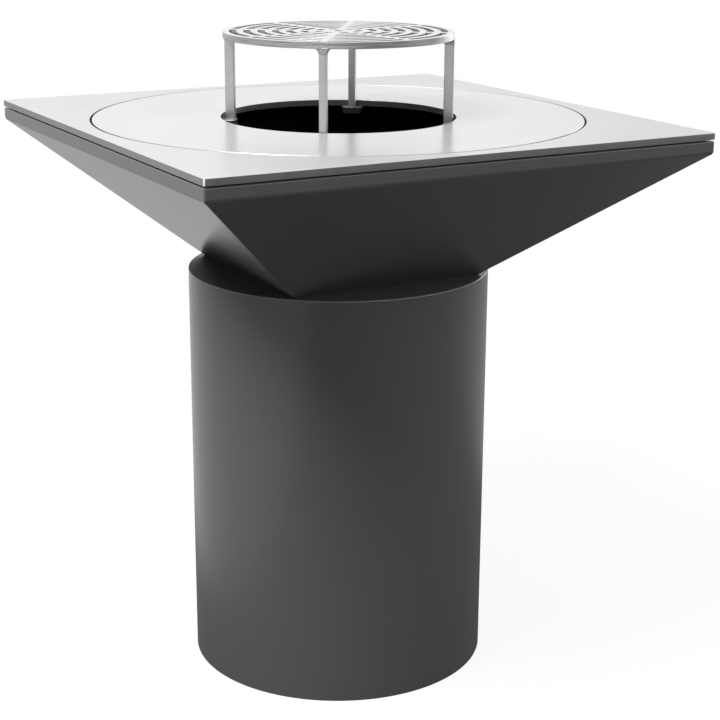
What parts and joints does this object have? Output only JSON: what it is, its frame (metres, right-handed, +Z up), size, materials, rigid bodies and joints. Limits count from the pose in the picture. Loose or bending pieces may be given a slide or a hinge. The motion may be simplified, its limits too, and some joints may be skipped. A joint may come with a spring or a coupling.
{
  "type": "fire pit",
  "caption": "Free-standing steel fire pit: round pedestal, square hopper bowl, square surround with a lift-out round hot plate, and a slotted grill on legs over the fire hole.",
  "frame": {"origin": "middle of the pedestal's foot, on the ground", "axes": "+Z up, -Y towards the bowl's front side, X and Y along the sides of the square surround"},
  "size_m": [1, 1, 1.243],
  "materials": {
    "satin_steel": "satin ground plate",
    "dark_coating": "satin anthracite coating",
    "raw_sheet": "mill-finish sheet",
    "zinc": "zinc-plated"
  },
  "bodies": {
    "stand": {"pedestal_shell": "dark_coating", "pedestal_top_plate": "dark_coating", "pedestal_base_ring": "dark_coating", "bowl_floor": "dark_coating", "bowl_bolts": "zinc", "bowl_washers": "zinc", "bowl_nuts": "zinc", "bowl_panel_front": "dark_coating", "bowl_panel_right": "dark_coating", "bowl_panel_back": "dark_coating", "bowl_panel_left": "dark_coating"},
    "surround": {"surround_plate": "satin_steel", "support_frame": "raw_sheet"},
    "hot_plate": {"cooking_disc": "satin_steel", "rest_tab_front": "satin_steel", "rest_tab_right": "satin_steel", "rest_tab_back": "satin_steel", "rest_tab_left": "satin_steel"},
    "grill": {"grill_plate": "satin_steel", "grill_leg_front": "satin_steel", "grill_leg_right": "satin_steel", "grill_leg_back": "satin_steel", "grill_leg_left": "satin_steel"}
  },
  "joints": [
    {"name": "surround_lift", "type": "slide", "parent": "stand", "child": "surround", "axis": [0, 0, 1], "range_m": [0, 0.12]},
    {"name": "disc_lift", "type": "slide", "parent": "surround", "child": "hot_plate", "axis": [0, 0, 1], "range_m": [0, 0.12]},
    {"name": "grill_lift", "type": "slide", "parent": "hot_plate", "child": "grill", "axis": [0, 0, 1], "range_m": [0, 0.2]}
  ]
}
